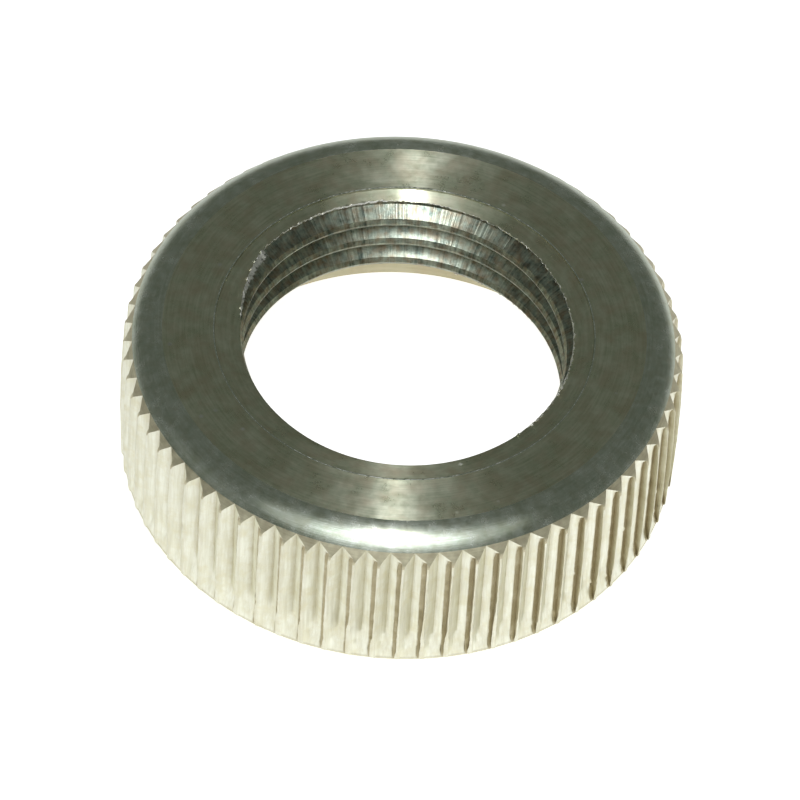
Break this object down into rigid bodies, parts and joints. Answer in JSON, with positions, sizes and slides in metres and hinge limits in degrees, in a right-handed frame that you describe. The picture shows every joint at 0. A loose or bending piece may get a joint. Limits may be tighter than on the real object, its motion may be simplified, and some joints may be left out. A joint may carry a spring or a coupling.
{
  "type": "valve nut",
  "caption": "Round knurled ring nut with a fine internal thread, a countersunk top face and a wide recess behind the thread.",
  "frame": {"origin": "centre of the bottom face, the one with the wide recess", "axes": "+Z along the thread's axis to the countersunk top face; +X through a crest of the knurl"},
  "size_m": [0.019, 0.019, 0.0063],
  "materials": {
    "nickel_plated_brass": "turned and straight knurled, nickel plated, satin"
  },
  "bodies": {
    "root": {"valve_nut": "nickel_plated_brass"}
  },
  "joints": []
}
